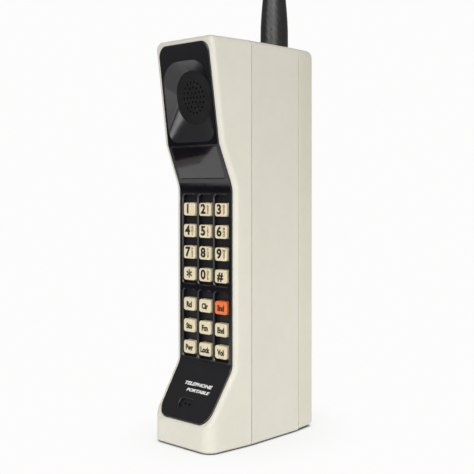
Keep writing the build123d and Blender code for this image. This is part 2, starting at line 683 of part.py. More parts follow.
def base_contacts():
    """Four flush contacts in the base, for a desk charger."""
    return [rod_z(x, BASE_CONTACT_Y, BASE_CONTACT_R, 0.25, WALL + 0.8) for x in BASE_CONTACT_X]


# ---- fasteners -----------------------------------------------------------------------------------
def housing_screws():
    screws = []
    for x, z in HOUSING_SCREWS:
        head = rod_y(x, z, 2.4, PACK_Y - 3.9, PACK_Y - 2.2)
        head -= box(x - 2.6, x + 2.6, PACK_Y - 2.8, PACK_Y - 2.0, z - 0.3, z + 0.3)
        screws.append(head + rod_y(x, z, 1.0, SEAM_Y - 6.5, PACK_Y - 3.8))
    return screws


def small_screw(x, z, face_y, length):
    """A screw whose head bears on a face from the front or, with a negative length, from the back."""
    step = 1 if length > 0 else -1
    head = rod_y(x, z, 1.9, *sorted((face_y, face_y - step * 1.3)))
    return head + rod_y(x, z, 0.85, *sorted((face_y - step * 0.1, face_y + length)))


def board_screws():
    screws = [small_screw(x, z, LOGIC_Y + BOARD_T + 0.05, -4.4) for x, z in LOGIC_SCREWS]
    screws += [small_screw(x, z, RADIO_Y - 0.05, 6.5) for x, z in RADIO_SCREWS]
    return screws + [small_screw(x, z, CHASSIS_Y - 0.05, 6.5) for x, z in CHASSIS_SCREWS]


# ---- antenna -------------------------------------------------------------------------------------
def antenna_socket():
    bush = rod_z(ANTENNA_X, ANTENNA_Y, SOCKET_R, 205.0, BODY_HEIGHT - 0.05)
    bush += rod_z(ANTENNA_X, ANTENNA_Y, 6.5, BODY_HEIGHT - WALL - 2.2, BODY_HEIGHT - WALL - 0.35)
    return bush - rod_z(ANTENNA_X, ANTENNA_Y, SOCKET_BORE_R, 208.5, BODY_HEIGHT + 1)


def antenna_ferrule():
    stud = rod_z(ANTENNA_X, ANTENNA_Y, STUD_R, 210.0, BODY_HEIGHT + 1)
    collar = rod_z(ANTENNA_X, ANTENNA_Y, 6.4, BODY_HEIGHT + 0.05, BODY_HEIGHT + 1.9)
    return stud + collar + rod_z(ANTENNA_X, ANTENNA_Y, 4.0, BODY_HEIGHT + 1.8, BODY_HEIGHT + 12)


def antenna_cover():
    """Rubber sleeve: a stout foot that narrows in a soft curve to the whip, closed at the tip."""
    foot_z = BODY_HEIGHT + 0.1
    bulge_z = foot_z + 6
    waist_z = bulge_z + 48
    tip_z = ANTENNA_TOP_Z
    tip_r = ANTENNA_WHIP_R - 0.4
    foot = Line((0, foot_z), (ANTENNA_BASE_R - 0.4, foot_z))
    edge = Line(foot @ 1, (ANTENNA_BASE_R, foot_z + 0.4))
    bulge = Line(edge @ 1, (ANTENNA_BASE_R, bulge_z))
    neck = Spline(bulge @ 1, (ANTENNA_BASE_R - 0.85, bulge_z + 17), (ANTENNA_WHIP_R + 0.55, bulge_z + 33),
                  (ANTENNA_WHIP_R, waist_z), tangents=((0, 1), (0, 1)))
    whip = Line(neck @ 1, (tip_r, tip_z - tip_r))
    cap = RadiusArc(whip @ 1, (0, tip_z), -tip_r)
    axis = Line(cap @ 1, (0, foot_z))
    half = make_face(Curve() + [foot, edge, bulge, neck, whip, cap, axis])
    sleeve = revolve(Plane.XZ * half, Axis.Z)
    sleeve -= rod_z(0, 0, 6.45, foot_z - 1, BODY_HEIGHT + 1.95)
    sleeve -= rod_z(0, 0, 4.05, foot_z, BODY_HEIGHT + 12.05)
    sleeve -= rod_z(0, 0, 2.2, foot_z, ANTENNA_TOP_Z - 9)
    return Pos(ANTENNA_X, ANTENNA_Y, 0) * sleeve


def antenna_core():
    return rod_z(ANTENNA_X, ANTENNA_Y, 2.15, BODY_HEIGHT + 12.1, ANTENNA_TOP_Z - 9.1)


def coax_lead():
    """Lead from the back of the radio board up to the side of the antenna socket."""
    board_y = RADIO_Y + BOARD_T + 0.05
    run_y = RADIO_Y + 5.0
    points = [(board_y, 176.2), (run_y, 176.2), (run_y, 206.8), (ANTENNA_Y - SOCKET_R - 0.05, 206.8)]
    path = Plane.YZ.offset(ANTENNA_X) * FilletPolyline(*points, radius=2.6)
    section = Plane(origin=path @ 0, z_dir=path % 0) * Circle(1.3)
    return sweep(section, path=path)


# ---- battery pack --------------------------------------------------------------------------------
def pack_shell():
    y0 = PACK_Y + PACK_GAP
    outer = plan_prism([(half_width(y0), y0), (half_width(REAR_Y), REAR_Y)], PACK_LIFT, BODY_HEIGHT)
    outer = round_top(outer, BODY_HEIGHT, TOP_SIDE_R)
    outer = fillet(edges_of(outer, lambda c, e: near(c.Y, REAR_Y)), PACK_BACK_R)
    outer = fillet(edges_of(outer, lambda c, e: near(c.Z, PACK_LIFT) and abs(c.X) > 15
                            and abs(c.Y - y0) > 0.5), PACK_BASE_R)
    outer = chamfer(edges_of(outer, lambda c, e: near(c.Y, y0)), SEAM_EDGE)
    inside = plan_prism([(half_width(y0 - 1) - PACK_WALL, y0 - 1),
                         (half_width(REAR_Y - PACK_WALL) - PACK_WALL, REAR_Y - PACK_WALL)],
                        PACK_LIFT + PACK_WALL, BODY_HEIGHT - PACK_WALL)
    inside = round_top(inside, BODY_HEIGHT - PACK_WALL, PACK_INNER_R)
    shell = outer - inside
    # latch pocket, its floor, and the slot that the latch's stem runs in
    pocket_low = LATCH_Z - LATCH_H / 2 - LATCH_TRAVEL - 0.3
    pocket_high = LATCH_Z + LATCH_H / 2 + 0.3
    floor_y = REAR_Y - LATCH_POCKET_DEPTH
    shell += box(-LATCH_W / 2 - 1.8, LATCH_W / 2 + 1.8, floor_y - LATCH_FLOOR_T, REAR_Y - PACK_WALL + 0.1,
                 pocket_low - 1.5, pocket_high + 1.5)
    shell -= front_block(0, (pocket_low + pocket_high) / 2, LATCH_W + 0.6, pocket_high - pocket_low,
                         floor_y, REAR_Y + 1, 1.5)
    shell -= box(-TONGUE_W / 2 - 0.3, TONGUE_W / 2 + 0.3, floor_y - LATCH_FLOOR_T - 1, floor_y + 1,
                 LATCH_Z - 2.3 - LATCH_TRAVEL, LATCH_Z + 2.3)
    return shell


def pack_tray():
    """Inner half of the pack: a flat flange inside the shell and the box that fills the bay."""
    y1 = TRAY_PLATE_Y + TRAY_PLATE_T
    margin = PACK_WALL + 0.15
    plate = plan_prism([(half_width(TRAY_PLATE_Y) - margin, TRAY_PLATE_Y), (half_width(y1) - margin, y1)],
                       PACK_LIFT + margin, BODY_HEIGHT - margin)
    plate = round_top(plate, BODY_HEIGHT - margin, PACK_INNER_R)
    width = BAY_W / 2 - TRAY_CLEARANCE
    low = BAY_LOW_Z + TRAY_CLEARANCE
    high = BAY_HIGH_Z - TRAY_CLEARANCE
    tray = plate + box(-width, width, TRAY_Y0, y1 - 0.1, low, high)
    tray -= box(-width + TRAY_WALL, width - TRAY_WALL, TRAY_Y0 + TRAY_WALL, y1 + 1,
                low + TRAY_WALL, high - TRAY_WALL)
    tray -= box(-TONGUE_W / 2 - 0.4, TONGUE_W / 2 + 0.4, TRAY_PLATE_Y - 1, y1 + 1,
                TONGUE_Z - LATCH_TRAVEL - TONGUE_T / 2 - 0.3, TONGUE_Z + TONGUE_T / 2 + 0.3)
    for x in PACK_CONTACT_X:
        tray -= box(x - 2.05, x + 2.05, TRAY_Y0 - 1, TRAY_Y0 + TRAY_WALL + 1, 17.0, 25.0)
    return tray


def pack_contacts():
    """Four flat pads in the tray's front wall."""
    y0 = TRAY_Y0 + 0.05
    y1 = TRAY_Y0 + TRAY_WALL - 0.05
    return [box(x - 2.0, x + 2.0, y0, y1, 17.1, 24.9) for x in PACK_CONTACT_X]


def pack_cells():
    """Six round cells in two columns."""
    cells = []
    for row in range(3):
        z0 = CELL_LOW_Z + row * CELL_PITCH
        for x in (-CELL_X, CELL_X):
            body = rod_z(x, CELL_Y, CELL_R, z0, z0 + CELL_L - 1.0)
            cells.append(body + rod_z(x, CELL_Y, 2.8, z0 + CELL_L - 1.1, z0 + CELL_L))
    return cells


def cell_links():
    """Nickel strips welded across the ends of the cells."""
    y0 = CELL_Y - 3
    y1 = CELL_Y + 3
    links = [box(-CELL_X - 3, CELL_X + 3, y0, y1, CELL_LOW_Z - 0.3, CELL_LOW_Z - 0.05)]
    for row in (1, 2):
        z = CELL_LOW_Z + row * CELL_PITCH - 1.0
        for x in (-CELL_X, CELL_X):
            links.append(box(x - 3, x + 3, y0, y1, z - 0.85, z + 0.85))
    return links


def contact_block():
    """Insulator that carries the spring contacts, through the window in the bay floor."""
    block = box(-12.0, 12.0, BAY_FLOOR_Y - BAY_WALL - 2.5, BAY_FLOOR_Y - 0.2, 16.0, 26.0)
    for x in PACK_CONTACT_X:
        block -= box(x - 1.7, x + 1.7, BAY_FLOOR_Y - 1.6, BAY_FLOOR_Y + 1, 16.8, 25.2)
    return block


def contact_springs():
    """Four bowed leaf springs that bear on the pack's pads."""
    springs = []
    y0 = BAY_FLOOR_Y - 1.5
    crest = TRAY_Y0 - 0.05
    for x in PACK_CONTACT_X:
        arch = ThreePointArc((y0, 17.2), (crest - 0.2, 21.0), (y0, 24.8))
        leaf = trace(arch, line_width=0.35)
        springs.append(Pos(x, 0, 0) * extrude(Plane.YZ * leaf, 1.4, both=True))
    return springs


def pack_latch():
    """Thumb slide with ribs, its stem through the pocket floor, and the tongue at the front."""
    floor_y = REAR_Y - LATCH_POCKET_DEPTH
    pad = front_block(0, LATCH_Z, LATCH_W, LATCH_H, floor_y + 0.1, REAR_Y - 1.0, 1.2)
    for i in range(4):
        z = LATCH_Z - 3.0 + i * 2.0
        pad += box(-LATCH_W / 2 + 1.5, LATCH_W / 2 - 1.5, REAR_Y - 1.1, REAR_Y - 0.4, z - 0.45, z + 0.45)
    inner_y = floor_y - LATCH_FLOOR_T - 0.1
    stem = box(-TONGUE_W / 2, TONGUE_W / 2, inner_y - 0.1, floor_y + 0.2, LATCH_Z - 2.0, LATCH_Z + 2.0)
    plate = box(-TONGUE_W / 2 - 1, TONGUE_W / 2 + 1, inner_y - 1.6, inner_y,
                LATCH_Z - 3.0, TONGUE_Z + TONGUE_T / 2)
    tongue = box(-TONGUE_W / 2, TONGUE_W / 2, PACK_Y - 1.6, inner_y - 0.5,
                 TONGUE_Z - TONGUE_T / 2, TONGUE_Z + TONGUE_T / 2)
    return pad + stem + plate + tongue


# ---- write one file per piece --------------------------------------------------------------------
def write(name, shape):
    solids = []
    for item in shape if isinstance(shape, list) else [shape]:
        solids += item.solids()
    body = solids[0] if len(solids) == 1 else Compound(children=solids)
    body.label = name
    export_step(body, f"parts/{name}.step")


def main():
    os.makedirs("parts", exist_ok=True)
    for piece in (
        front_housing, rear_housing, front_panel, earpiece_grille, earpiece_gasket, earpiece_speaker,
        display_lens, display_module, display_digits, display_ribbon, microphone, microphone_boot,
        key_mask, key_mat, keypad_board, chassis, logic_board, logic_components, board_connector,
        radio_board, radio_shield, radio_components, duplexer, coax_lead, base_contacts, contact_block,
        contact_springs, housing_screws, board_screws, antenna_socket, antenna_ferrule, antenna_cover,
        antenna_core, pack_shell, pack_tray, pack_contacts, pack_cells, cell_links, pack_latch,
    ):
        write(piece.__name__, piece())
    for name, x, z in key_places():
        write(name, key(x, z))


main()
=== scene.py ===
import json
import math

import bpy
from mathutils import Matrix, Vector


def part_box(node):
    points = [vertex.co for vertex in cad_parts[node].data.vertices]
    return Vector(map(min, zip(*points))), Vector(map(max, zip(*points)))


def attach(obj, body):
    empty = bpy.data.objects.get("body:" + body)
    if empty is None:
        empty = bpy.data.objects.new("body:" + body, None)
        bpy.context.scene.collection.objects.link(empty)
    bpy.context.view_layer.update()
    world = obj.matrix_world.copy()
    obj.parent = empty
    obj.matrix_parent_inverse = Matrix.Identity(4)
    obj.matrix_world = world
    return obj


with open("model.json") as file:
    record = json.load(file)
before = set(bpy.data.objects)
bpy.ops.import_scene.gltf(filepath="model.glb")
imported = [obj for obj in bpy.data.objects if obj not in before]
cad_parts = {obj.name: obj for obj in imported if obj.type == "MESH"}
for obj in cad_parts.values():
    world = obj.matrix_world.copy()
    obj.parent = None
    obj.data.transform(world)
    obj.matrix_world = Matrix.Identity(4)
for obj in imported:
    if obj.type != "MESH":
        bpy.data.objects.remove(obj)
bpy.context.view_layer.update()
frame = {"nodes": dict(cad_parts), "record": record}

MM = 0.001
BACKGROUND = (0.975, 0.975, 0.970)

# dial keys: node, figure, small letters
DIAL_KEYS = {
    "key_1": ("1", ""), "key_2": ("2", "ABC"), "key_3": ("3", "DEF"),
    "key_4": ("4", "GHI"), "key_5": ("5", "JKL"), "key_6": ("6", "MNO"),
    "key_7": ("7", "PRS"), "key_8": ("8", "TUV"), "key_9": ("9", "WXY"),
    "key_star": ("*", ""), "key_0": ("0", "OPR"), "key_hash": ("#", ""),
}

# function keys: node, word
FUNCTION_KEYS = {
    "key_recall": "Rcl", "key_clear": "Clr", "key_send": "Snd",
    "key_store": "Sto", "key_function": "Fcn", "key_end": "End",
    "key_power": "Pwr", "key_lock": "Lock", "key_volume": "Vol",
}


# ---- materials -----------------------------------------------------------------------------------
class Nodes:
    """A short way to write a material's node tree."""

    def __init__(self, name):
        self.material = bpy.data.materials.new(name)
        self.material.use_nodes = True
        self.tree = self.material.node_tree
        self.shader = self.tree.nodes["Principled BSDF"]
        coords = self.add("ShaderNodeTexCoord")
        self.place = coords.outputs["Object"]

    def add(self, kind, **settings):
        node = self.tree.nodes.new(kind)
        for key, value in settings.items():
            setattr(node, key, value)
        return node

    def link(self, source, target):
        self.tree.links.new(source, target)

    def noise(self, scale, detail=4.0, rough=0.55, distortion=0.0, place=None):
        node = self.add("ShaderNodeTexNoise")
        node.inputs["Scale"].default_value = scale
        node.inputs["Detail"].default_value = detail
        node.inputs["Roughness"].default_value = rough
        node.inputs["Distortion"].default_value = distortion
        self.link(place or self.place, node.inputs["Vector"])
        return node.outputs["Fac"]

    def voronoi(self, scale):
        node = self.add("ShaderNodeTexVoronoi", feature="F1")
        node.inputs["Scale"].default_value = scale
        self.link(self.place, node.inputs["Vector"])
        return node.outputs["Distance"]

    def span(self, value, low, high, to_low, to_high):
        """A value's range low to high, stretched to another range and held at its ends."""
        node = self.add("ShaderNodeMapRange")
        self.link(value, node.inputs["Value"])
        for key, number in (("From Min", low), ("From Max", high), ("To Min", to_low), ("To Max", to_high)):
            node.inputs[key].default_value = number
        return node.outputs["Result"]

    def mix(self, factor, a, b):
        node = self.add("ShaderNodeMix", data_type="RGBA", blend_type="MIX")
        for key, value in ((0, factor), (6, a), (7, b)):
            if hasattr(value, "is_linked"):
                self.link(value, node.inputs[key])
            elif isinstance(value, tuple):
                node.inputs[key].default_value = (*value, 1.0)
            else:
                node.inputs[key].default_value = value
        return node.outputs[2]

    def maths(self, operation, a, b):
        node = self.add("ShaderNodeMath", operation=operation)
        for key, value in ((0, a), (1, b)):
            if hasattr(value, "is_linked"):
                self.link(value, node.inputs[key])
            else:
                node.inputs[key].default_value = value
        return node.outputs[0]

    def bump(self, height, strength, distance, normal=None):
        node = self.add("ShaderNodeBump")
        node.inputs["Strength"].default_value = strength
        node.inputs["Distance"].default_value = distance
        self.link(height, node.inputs["Height"])
        if normal:
            self.link(normal, node.inputs["Normal"])
        return node.outputs["Normal"]

    def edge_wear(self, radius):
        """1 at edges and corners, 0 on flats."""
        bevel = self.add("ShaderNodeBevel", samples=4)
        bevel.inputs["Radius"].default_value = radius
        plain = self.add("ShaderNodeNewGeometry")
        dot = self.add("ShaderNodeVectorMath", operation="DOT_PRODUCT")
        self.link(bevel.outputs["Normal"], dot.inputs[0])
        self.link(plain.outputs["Normal"], dot.inputs[1])
        return self.span(dot.outputs["Value"], 0.995, 0.80, 0.0, 1.0)

    def set(self, **values):
        """Fill in the shader's inputs, and give back the finished material."""
        names = {"color": "Base Color", "rough": "Roughness", "metal": "Metallic", "normal": "Normal",
                 "coat": "Coat Weight", "coat_rough": "Coat Roughness", "specular": "Specular IOR Level",
                 "alpha": "Alpha"}
        for key, value in values.items():
            socket = self.shader.inputs[names[key]]
            if hasattr(value, "is_linked"):
                self.link(value, socket)
            elif isinstance(value, tuple):
                socket.default_value = (*value, 1.0)
            else:
                socket.default_value = value
        return self.material


# painted shade along the joints between the shells
SEAM_SHADE = (0.10, 0.092, 0.080)
# darker towards the top of the body
TOP_DARKENING = (0.30, 0.29, 0.25)
TOP_DARKENING_FROM, TOP_DARKENING_FULL = 110 * MM, 205 * MM
# painted contact shade at the foot, where the base meets the floor
FOOT_SHADE = (0.09, 0.085, 0.075)
FOOT_SHADE_FULL, FOOT_SHADE_TO = 0.5 * MM, 1.15 * MM


def painted_shade_and_darkening(n, base, joints):
    """Painted shade along the joints, each (depth, half width, strength), darkening on the upper half, and
    painted shade at the foot.
    """
    split = n.add("ShaderNodeSeparateXYZ")
    n.link(n.place, split.inputs["Vector"])
    uneven = n.span(n.noise(180, 4.0, 0.6), 0.3, 0.7, 0.75, 1.0)
    # painted shade along each joint, strongest over the joint and fading out to its half width
    for depth, reach, strength in joints:
        away = n.maths("ABSOLUTE", n.maths("SUBTRACT", split.outputs["Y"], depth), 0.0)
        amount = n.maths("MULTIPLY", n.span(away, reach * 0.55, reach, strength, 0.0), uneven)
        base = n.mix(amount, base, SEAM_SHADE)
    # darker towards the top, from 110 mm up to 205 mm
    towards_top = n.span(split.outputs["Z"], TOP_DARKENING_FROM, TOP_DARKENING_FULL, 0.0, 0.13)
    base = n.mix(towards_top, base, TOP_DARKENING)
    # painted contact shade over the bottom 1.15 mm of the body
    foot = n.span(split.outputs["Z"], FOOT_SHADE_FULL, FOOT_SHADE_TO, 0.85, 0.0)
    return n.mix(n.maths("MULTIPLY", foot, uneven), base, FOOT_SHADE)


def moulded_plastic(name, colour, shade, rough, grain=0.5, wear=None, swing=0.065, specular=0.45,
                    joints=()):
    """Moulded plastic with a spark-eroded texture, slow colour drift and faint handling marks.

    wear is the colour of rubbed edges, and swing is how far the roughness strays from rough.
    """
    n = Nodes(name)
    drift = n.noise(22, 3.0, 0.5)
    cloud = n.noise(140, 5.0, 0.6)
    base = n.mix(n.span(drift, 0.35, 0.68, 0.0, 1.0), colour, shade)
    base = n.mix(n.span(cloud, 0.40, 0.75, 0.0, 0.16), base, tuple(c * 0.86 for c in shade))
    if wear:
        worn = n.maths("MULTIPLY", n.edge_wear(0.0007), n.span(n.noise(420, 3.0), 0.42, 0.6, 0.15, 1.0))
        base = n.mix(worn, base, wear)
    # painted shade along the joints and at the foot, and darker towards the top
    if joints:
        base = painted_shade_and_darkening(n, base, joints)
    pits = n.voronoi(2300)
    fine = n.noise(3600, 2.0, 0.7)
    height = n.maths("ADD", n.maths("MULTIPLY", pits, 0.6), n.maths("MULTIPLY", fine, 0.5))
    normal = n.bump(height, grain, 0.00006)
    rubbed = n.span(n.noise(48, 6.0, 0.7, 0.6), 0.35, 0.7, rough - swing, rough + swing)
    return n.set(color=base, rough=rubbed, normal=normal, specular=specular)


def key_plastic(name, colour, shade):
    """Smoother plastic for the keys, with slow colour drift and fine dark specks."""
    n = Nodes(name)
    drift = n.noise(260, 4.0, 0.6)
    base = n.mix(n.span(drift, 0.35, 0.7, 0.0, 1.0), colour, shade)
    specks = n.span(n.noise(2600, 3.0, 0.7), 0.66, 0.8, 0.0, 0.22)
    base = n.mix(specks, base, tuple(c * 0.55 for c in shade))
    normal = n.bump(n.noise(5200, 2.0, 0.6), 0.22, 0.00004)
    rubbed = n.span(n.noise(520, 4.0, 0.6), 0.3, 0.7, 0.34, 0.46)
    return n.set(color=base, rough=rubbed, normal=normal, specular=0.5)


def rubber(name, colour, grain=0.6, rough=0.62, specular=0.35, rib=0.0):
    """Moulded rubber: fine bloom in the colour and a soft skin texture.

    rib is the scale of the bands where a wound core shows through, or 0 for none.
    """
    n = Nodes(name)
    bloom = n.noise(160, 5.0, 0.65, 0.4)
    base = n.mix(n.span(bloom, 0.35, 0.72, 0.0, 1.0), colour, tuple(c * 1.7 + 0.002 for c in colour))
    height = n.maths("ADD", n.noise(2600, 3.0, 0.7), n.maths("MULTIPLY", n.voronoi(1500), 0.5))
    normal = n.bump(height, grain, 0.00008)
    if rib:
        rings = n.add("ShaderNodeTexWave", bands_direction="DIAGONAL")
        rings.inputs["Scale"].default_value = rib
        rings.inputs["Distortion"].default_value = 1.5
        n.link(n.place, rings.inputs["Vector"])
        normal = n.bump(rings.outputs["Fac"], 0.36, 0.00012, normal)
    rubbed = n.span(n.noise(70, 4.0), 0.3, 0.7, rough - 0.07, rough + 0.07)
    return n.set(color=base, rough=rubbed, normal=normal, specular=specular)


def metal(name, colour, rough, turned=False):
    """Plated or turned metal with fine marks and faint tarnish."""
    n = Nodes(name)
    tarnish = n.span(n.noise(240, 5.0, 0.6), 0.45, 0.75, 0.0, 0.35)
    base = n.mix(tarnish, colour, tuple(c * 0.55 for c in colour))
    stretch = n.add("ShaderNodeMapping")
    stretch.inputs["Scale"].default_value = (1.0, 1.0, 22.0) if turned else (22.0, 1.0, 1.0)
    n.link(n.place, stretch.inputs["Vector"])
    marks = n.noise(900, 2.0, 0.5, place=stretch.outputs["Vector"])
    normal = n.bump(marks, 0.25, 0.00004)
    polish = n.span(marks, 0.3, 0.7, rough - 0.08, rough + 0.08)
    return n.set(color=base, metal=1.0, rough=polish, normal=normal)


def smoked_glass():
    """The display's smoked window: dark, slightly brown, with a fine haze in its gloss."""
    n = Nodes("lens_smoke")
    haze = n.noise(90, 4.0, 0.6)
    base = n.mix(n.span(haze, 0.35, 0.7, 0.0, 1.0), (0.0055, 0.0045, 0.0065), (0.0095, 0.0075, 0.0085))
    rough = n.span(n.noise(700, 5.0, 0.7), 0.45, 0.8, 0.04, 0.10)
    return n.set(color=base, rough=rough, alpha=0.95, specular=0.75, coat=0.35, coat_rough=0.05)


def circuit_board():
    """Green solder mask with a hint of the copper tracks under it."""
    n = Nodes("board_green")
    tracks = n.add("ShaderNodeTexBrick")
    tracks.inputs["Scale"].default_value = 620
    tracks.inputs["Mortar Size"].default_value = 0.028
    n.link(n.place, tracks.inputs["Vector"])
    lines = tracks.outputs["Fac"]
    cloud = n.noise(90, 3.0)
    base = n.mix(n.span(cloud, 0.35, 0.7, 0.0, 1.0), (0.012, 0.085, 0.030), (0.016, 0.120, 0.045))
    base = n.mix(n.maths("MULTIPLY", lines, 0.5), base, (0.05, 0.22, 0.08))
    return n.set(color=base, rough=0.32, normal=n.bump(lines, 0.3, 0.00003), specular=0.5)


def printed(name, colour, rough=0.45):
    """Screen-printed ink with slightly uneven cover."""
    n = Nodes(name)
    cover = n.noise(1500, 4.0, 0.7)
    base = n.mix(n.span(cover, 0.4, 0.75, 0.0, 0.5), colour, tuple(c * 0.75 + 0.01 for c in colour))
    return n.set(color=base, rough=rough, normal=n.bump(cover, 0.15, 0.00002))


def glow(name, colour, strength):
    """A surface that only gives off an even light."""
    n = Nodes(name)
    emission = n.add("ShaderNodeEmission")
    emission.inputs["Color"].default_value = (*colour, 1.0)
    emission.inputs["Strength"].default_value = strength
    n.link(emission.outputs[0], n.tree.nodes["Material Output"].inputs["Surface"])
    return n.material


CONTACT_REACH = 4 * MM
SHADE_REACH = 45 * MM
SHADE_SAMPLES = 16


def floor_material():
    """White table top: as white as the background away from the object, shaded close around it."""
    n = Nodes("studio_floor")
    cloud = n.noise(3.0, 4.0, 0.5)
    base = n.mix(n.span(cloud, 0.35, 0.7, 0.0, 1.0), (0.80, 0.80, 0.79), (0.79, 0.787, 0.775))
    contact = n.add("ShaderNodeAmbientOcclusion", samples=SHADE_SAMPLES)
    contact.inputs["Distance"].default_value = CONTACT_REACH
    around = n.add("ShaderNodeAmbientOcclusion", samples=SHADE_SAMPLES)
    around.inputs["Distance"].default_value = SHADE_REACH
    # the glow fades where the object occludes the floor, painting part of the shade close around it
    near_glow = n.span(contact.outputs["AO"], 0.30, 0.72, 0.0, 0.80)
    far_glow = n.span(around.outputs["AO"], 0.45, 0.98, 0.0, 0.20)
    # painted contact shadow: the colour turns near black where the object meets the floor
    base = n.mix(n.span(contact.outputs["AO"], 0.15, 0.50, 0.75, 0.0), base, (0.05, 0.05, 0.045))
    n.set(color=base, rough=0.6, specular=0.2)
    emission = n.add("ShaderNodeEmission")
    emission.inputs["Color"].default_value = (*BACKGROUND, 1.0)
    blend = n.add("ShaderNodeMixShader")
    n.link(n.maths("ADD", near_glow, far_glow), blend.inputs[0])
    n.link(n.shader.outputs[0], blend.inputs[1])
    n.link(emission.outputs[0], blend.inputs[2])
    n.link(blend.outputs[0], n.tree.nodes["Material Output"].inputs["Surface"])
    return n.material


# joints between the shells: depth, half width and strength of the painted seam shade
HALF_GAP = 0.15 * MM
JOINTS = (
    (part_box("front_housing")[1][1] + HALF_GAP, 0.42 * MM, 0.36),
    (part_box("rear_housing")[1][1] + HALF_GAP, 0.40 * MM, 0.22),
)
CREAM = (0.762, 0.738, 0.640)
CREAM_SHADE = (0.730, 0.706, 0.607)
PACK_CREAM = (0.778, 0.742, 0.620)
PACK_SHADE = (0.745, 0.708, 0.585)
RUBBED_CREAM = (0.83, 0.80, 0.70)
RUBBED_PACK = (0.81, 0.77, 0.66)
RUBBED_BLACK = (0.024, 0.024, 0.026)

# one material for each slot in the record, and the inks
MATERIALS = {
    "shell_cream": moulded_plastic("shell_cream", CREAM, CREAM_SHADE, 0.42, 0.35, RUBBED_CREAM,
                                   joints=JOINTS),
    "pack_cream": moulded_plastic("pack_cream", PACK_CREAM, PACK_SHADE, 0.42, 0.35, RUBBED_PACK,
                                  joints=JOINTS),
    "panel_black": moulded_plastic("panel_black", (0.0042, 0.0039, 0.0056), (0.0056, 0.0052, 0.0072),
                                   0.20, 0.20, RUBBED_BLACK, swing=0.04, specular=0.65),
    "mask_black": moulded_plastic("mask_black", (0.0075, 0.0070, 0.0100), (0.0100, 0.0092, 0.0125),
                                  0.38, 0.4),
    "grille_black": moulded_plastic("grille_black", (0.0070, 0.0064, 0.0066), (0.0090, 0.0083, 0.0080),
                                    0.42, 0.4),
    "block_black": moulded_plastic("block_black", (0.02, 0.02, 0.02), (0.03, 0.03, 0.03), 0.5),
    "key_cream": key_plastic("key_cream", (0.825, 0.725, 0.490), (0.785, 0.675, 0.438)),
    "key_orange": key_plastic("key_orange", (0.95, 0.195, 0.042), (0.90, 0.168, 0.034)),
    "lens_smoke": smoked_glass(),
    "rubber_black": rubber("rubber_black", (0.0060, 0.0064, 0.0056), 0.6, 0.34, specular=0.60, rib=150.0),
    "mat_grey": rubber("mat_grey", (0.20, 0.20, 0.19), 0.3),
    "board_green": circuit_board(),
    "chip_black": moulded_plastic("chip_black", (0.022, 0.022, 0.024), (0.03, 0.03, 0.03), 0.48, 0.6),
    "digit_red": key_plastic("digit_red", (0.22, 0.010, 0.010), (0.16, 0.008, 0.008)),
    "ribbon_amber": printed("ribbon_amber", (0.45, 0.20, 0.05), 0.3),
    "chassis_metal": metal("chassis_metal", (0.62, 0.62, 0.63), 0.38),
    "shield_tin": metal("shield_tin", (0.72, 0.72, 0.72), 0.28),
    "ceramic": printed("ceramic", (0.55, 0.50, 0.42), 0.4),
    "screw_steel": metal("screw_steel", (0.58, 0.58, 0.60), 0.30, turned=True),
    "brass": metal("brass", (0.74, 0.53, 0.24), 0.28, turned=True),
    "gold_contact": metal("gold_contact", (0.88, 0.66, 0.28), 0.22),
    "nickel": metal("nickel", (0.60, 0.58, 0.54), 0.32),
    "cell_sleeve": printed("cell_sleeve", (0.05, 0.14, 0.34), 0.35),
    "core_steel": metal("core_steel", (0.45, 0.45, 0.46), 0.35),
    "ink_black": printed("ink_black", (0.008, 0.007, 0.007)),
    "ink_brown": printed("ink_brown", (0.22, 0.15, 0.075)),
    "ink_white": printed("ink_white", (0.90, 0.90, 0.88)),
}


def dress_frame():
    """Gives every CAD node the material of its slot in the record; the pack has yellowed a little more."""
    for entry in frame["record"]["subparts"]:
        node = frame["nodes"][entry["node"]]
        slot = "pack_cream" if entry["node"] == "pack_shell" else entry["material_slot"]
        node.data.materials.clear()
        node.data.materials.append(MATERIALS[slot])


# ---- printing on the keys and the panel ----------------------------------------------------------
PRINT_DEPTH = 0.02 * MM

# figures on the dial keys: shift right, shift up, size and bold
FIGURE_PLACE = (-1.1 * MM, 0.0, 7.1 * MM, 0.28 * MM)
FIGURE_PLACES = {
    "*": (0.2 * MM, -1.9 * MM, 9.8 * MM, 0.16 * MM),
    "#": (-0.3 * MM, -0.2 * MM, 6.6 * MM, 0.26 * MM),
}
FIGURE_WIDTH = 1.08

LETTER_X = 2.7 * MM
LETTER_STEP = 1.8 * MM
LETTER_SIZE = 2.1 * MM
LETTER_BOLD = 0.11 * MM
M_BOLD = 0.04 * MM          # an M fills in when it is bolder

WORD_X, WORD_Z = 0.2 * MM, -0.3 * MM
WORD_SIZE = 4.1 * MM
WORD_BOLD = 0.25 * MM
WORD_WIDTH = 0.86

# words on the panel's lower slope: name, word, width, size and place, in millimetres
PANEL_WORDS = (
    ("print_upper", "TELEPHONE", 21.5, 2.6, 1.9, 32.3),
    ("print_lower", "PORTABLE", 17.8, 2.3, 3.4, 29.3),
)
PANEL_WORD_BOLD = 0.10 * MM
PANEL_WORD_SLANT = 0.25


